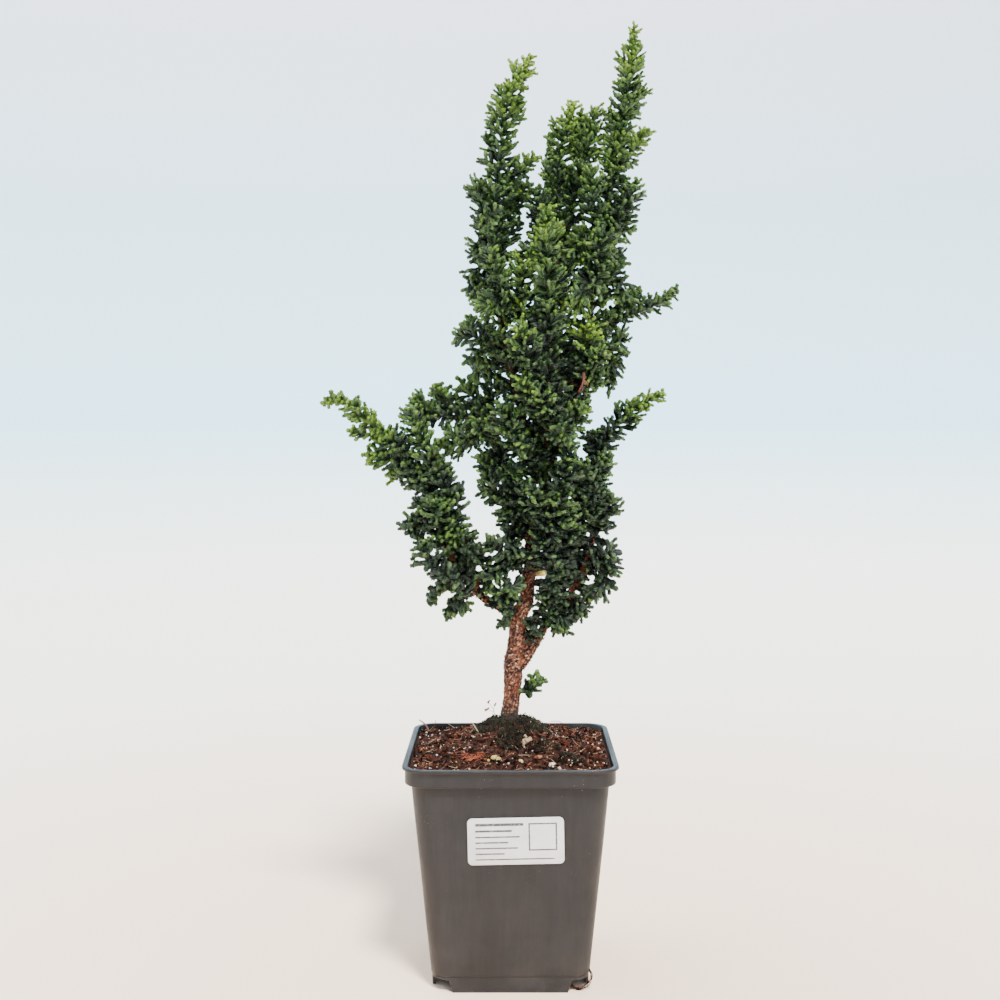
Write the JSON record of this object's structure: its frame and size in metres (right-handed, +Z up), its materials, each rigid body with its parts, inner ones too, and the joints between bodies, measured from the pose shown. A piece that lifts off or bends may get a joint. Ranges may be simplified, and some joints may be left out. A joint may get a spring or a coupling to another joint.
{
  "type": "potted hinoki cypress bonsai",
  "caption": "Young hinoki cypress bonsai with upswept branches and dense fan-like foliage, in a tall square nursery pot with a blank label.",
  "frame": {"origin": "middle of the pot's flat foot, on the surface that it stands on", "axes": "+Z up along the plant, -Y towards the pot's labelled front, +X to the right seen from the front"},
  "size_m": [0.1959, 0.1134, 0.518],
  "materials": {
    "pot_plastic": "moulded, matt, with faint vertical streaks",
    "soil": "reddish-brown bark and peat with pale grains",
    "label": "matt white sticker",
    "bark": "reddish-brown, flaky",
    "foliage": "deep green scale leaves, yellow-green at the tips"
  },
  "bodies": {
    "root": {"back_branch_shoot_00": "foliage", "back_branch_shoot_01": "foliage", "back_branch_shoot_02": "foliage", "front_branch_shoot_00": "foliage", "front_branch_shoot_01": "foliage", "front_branch_shoot_02": "foliage", "front_branch_shoot_03": "foliage", "inner_arm_shoot_00": "foliage", "inner_arm_shoot_01": "foliage", "inner_arm_shoot_02": "foliage", "label": "label", "left_arm_shoot_00": "foliage", "left_arm_shoot_01": "foliage", "left_arm_shoot_02": "foliage", "left_arm_shoot_03": "foliage", "left_arm_shoot_04": "foliage", "left_arm_shoot_05": "foliage", "left_arm_shoot_06": "foliage", "left_arm_shoot_07": "foliage", "left_leader_shoot_00": "foliage", "left_leader_shoot_01": "foliage", "left_leader_shoot_02": "foliage", "left_leader_shoot_03": "foliage", "left_leader_shoot_04": "foliage", "left_leader_shoot_05": "foliage", "left_leader_shoot_06": "foliage", "left_leader_shoot_07": "foliage", "pot": "pot_plastic", "right_arm_shoot_00": "foliage", "right_arm_shoot_01": "foliage", "right_arm_shoot_02": "foliage", "right_arm_shoot_03": "foliage", "right_arm_shoot_04": "foliage", "right_arm_shoot_05": "foliage", "right_arm_shoot_06": "foliage", "right_arm_shoot_07": "foliage", "right_leader_shoot_00": "foliage", "right_leader_shoot_01": "foliage", "right_leader_shoot_02": "foliage", "right_leader_shoot_03": "foliage", "right_leader_shoot_04": "foliage", "right_leader_shoot_05": "foliage", "right_leader_shoot_06": "foliage", "right_leader_shoot_07": "foliage", "right_leader_shoot_08": "foliage", "right_leader_shoot_09": "foliage", "soil": "soil", "trunk_and_branches": "bark", "trunk_shoot_00": "foliage", "trunk_shoot_01": "foliage", "trunk_shoot_02": "foliage", "trunk_shoot_03": "foliage", "trunk_shoot_04": "foliage", "trunk_shoot_05": "foliage", "trunk_shoot_06": "foliage", "trunk_shoot_07": "foliage", "trunk_shoot_08": "foliage", "trunk_shoot_09": "foliage", "trunk_shoot_10": "foliage"}
  },
  "joints": []
}
